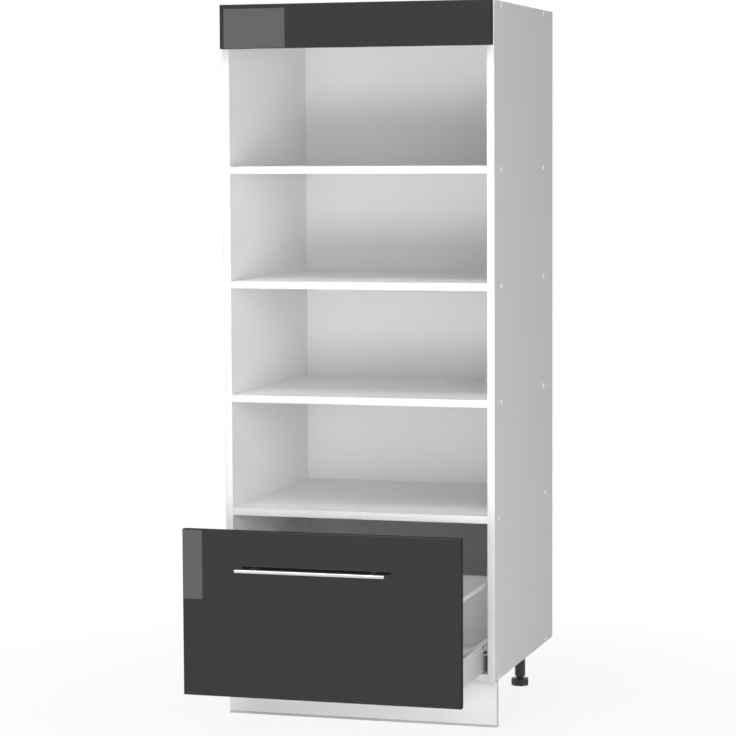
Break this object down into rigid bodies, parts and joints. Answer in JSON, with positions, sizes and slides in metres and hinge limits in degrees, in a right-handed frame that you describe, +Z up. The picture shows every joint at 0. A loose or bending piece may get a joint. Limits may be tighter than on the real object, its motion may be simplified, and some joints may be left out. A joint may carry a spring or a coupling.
{
  "type": "kitchen shelf unit",
  "caption": "White kitchen unit with open shelves, a dark gloss fascia and a dark gloss pull-out drawer on roller runners, on adjustable feet behind a plinth.",
  "frame": {"origin": "on the floor, under the middle of the box round the unit as it stands with its drawer open", "axes": "+Z up, +X to the right as seen by someone in front of the unit, +Y from the drawer to the wall"},
  "size_m": [0.6016, 0.87, 1.536],
  "materials": {
    "white_board": "satin",
    "white_back_board": "satin",
    "dark_gloss_board": "high gloss",
    "white_edge": "satin",
    "white_plastic": "satin",
    "white_steel": "powder coat",
    "zinc_steel": "zinc plated",
    "handle_steel": "satin",
    "black_plastic": "matt",
    "roller_plastic": "satin",
    "seal_rubber": "matt",
    "clear_bumper": "satin"
  },
  "bodies": {
    "carcass": {"side_panel_left": "white_board", "side_panel_right": "white_board", "top_panel": "white_board", "bottom_panel": "white_board", "drawer_bay_shelf": "white_board", "shelf_lower": "white_board", "shelf_middle": "white_board", "shelf_upper": "white_board", "back_panel": "white_back_board", "front_edge_bands": "white_edge", "carcass_screws": "zinc_steel", "screw_caps": "white_plastic", "fascia_panel": "dark_gloss_board", "fascia_bracket_left": "zinc_steel", "fascia_bracket_right": "zinc_steel", "fascia_screws": "zinc_steel", "wall_bracket_left": "zinc_steel", "wall_bracket_right": "zinc_steel", "wall_bracket_screws": "zinc_steel", "leg_front_left": "black_plastic", "leg_front_right": "black_plastic", "leg_rear_left": "black_plastic", "leg_rear_right": "black_plastic", "leg_screws": "zinc_steel", "plinth_panel": "white_board", "plinth_seal": "seal_rubber", "plinth_clip_left": "black_plastic", "plinth_clip_right": "black_plastic", "plinth_clip_screws": "zinc_steel", "cabinet_runner_left": "white_steel", "cabinet_runner_right": "white_steel", "runner_screws": "zinc_steel", "runner_axles": "zinc_steel"},
    "drawer": {"drawer_side_left": "white_steel", "drawer_side_right": "white_steel", "back_bracket_left": "white_steel", "back_bracket_right": "white_steel", "front_angle_left": "zinc_steel", "front_angle_right": "zinc_steel", "railing_left": "white_steel", "railing_right": "white_steel", "railing_holders": "white_plastic", "drawer_axles": "zinc_steel", "drawer_bottom": "white_board", "drawer_back": "white_board", "drawer_screws": "zinc_steel", "drawer_front": "dark_gloss_board", "drawer_bumpers": "clear_bumper", "handle_bar": "handle_steel", "handle_posts": "handle_steel", "handle_screws": "zinc_steel"},
    "runner_roller_left": {"runner_roller_left": "roller_plastic"},
    "runner_roller_right": {"runner_roller_right": "roller_plastic"},
    "drawer_roller_left": {"drawer_roller_left": "roller_plastic"},
    "drawer_roller_right": {"drawer_roller_right": "roller_plastic"},
    "foot_front_left": {"foot_front_left": "black_plastic"},
    "foot_front_right": {"foot_front_right": "black_plastic"},
    "foot_rear_left": {"foot_rear_left": "black_plastic"},
    "foot_rear_right": {"foot_rear_right": "black_plastic"}
  },
  "joints": [
    {"name": "drawer_slide", "type": "slide", "parent": "carcass", "child": "drawer", "axis": [0, -1, 0], "range_m": [-0.261, 0.119]},
    {"name": "runner_roller_left_spin", "type": "hinge", "parent": "carcass", "child": "runner_roller_left", "pos_m": [-0.27725, -0.105, 0.1737], "axis": [1, 0, 0], "continuous": true},
    {"name": "drawer_roller_left_spin", "type": "hinge", "parent": "drawer", "child": "drawer_roller_left", "pos_m": [-0.27725, 0.096, 0.1701], "axis": [1, 0, 0], "continuous": true},
    {"name": "runner_roller_right_spin", "type": "hinge", "parent": "carcass", "child": "runner_roller_right", "pos_m": [0.27725, -0.105, 0.1737], "axis": [1, 0, 0], "continuous": true},
    {"name": "drawer_roller_right_spin", "type": "hinge", "parent": "drawer", "child": "drawer_roller_right", "pos_m": [0.27725, 0.096, 0.1701], "axis": [1, 0, 0], "continuous": true},
    {"name": "foot_front_left_height", "type": "slide", "parent": "carcass", "child": "foot_front_left", "axis": [0, 0, -1], "range_m": [-0.003, 0.02]},
    {"name": "foot_front_right_height", "type": "slide", "parent": "carcass", "child": "foot_front_right", "axis": [0, 0, -1], "range_m": [-0.003, 0.02]},
    {"name": "foot_rear_left_height", "type": "slide", "parent": "carcass", "child": "foot_rear_left", "axis": [0, 0, -1], "range_m": [-0.003, 0.02]},
    {"name": "foot_rear_right_height", "type": "slide", "parent": "carcass", "child": "foot_rear_right", "axis": [0, 0, -1], "range_m": [-0.003, 0.02]}
  ],
  "couplings": [
    {"joint": "runner_roller_left_spin", "follows": "drawer_slide", "rad_per_m": 83.333},
    {"joint": "drawer_roller_left_spin", "follows": "drawer_slide", "rad_per_m": -83.333},
    {"joint": "runner_roller_right_spin", "follows": "drawer_slide", "rad_per_m": 83.333},
    {"joint": "drawer_roller_right_spin", "follows": "drawer_slide", "rad_per_m": -83.333}
  ]
}
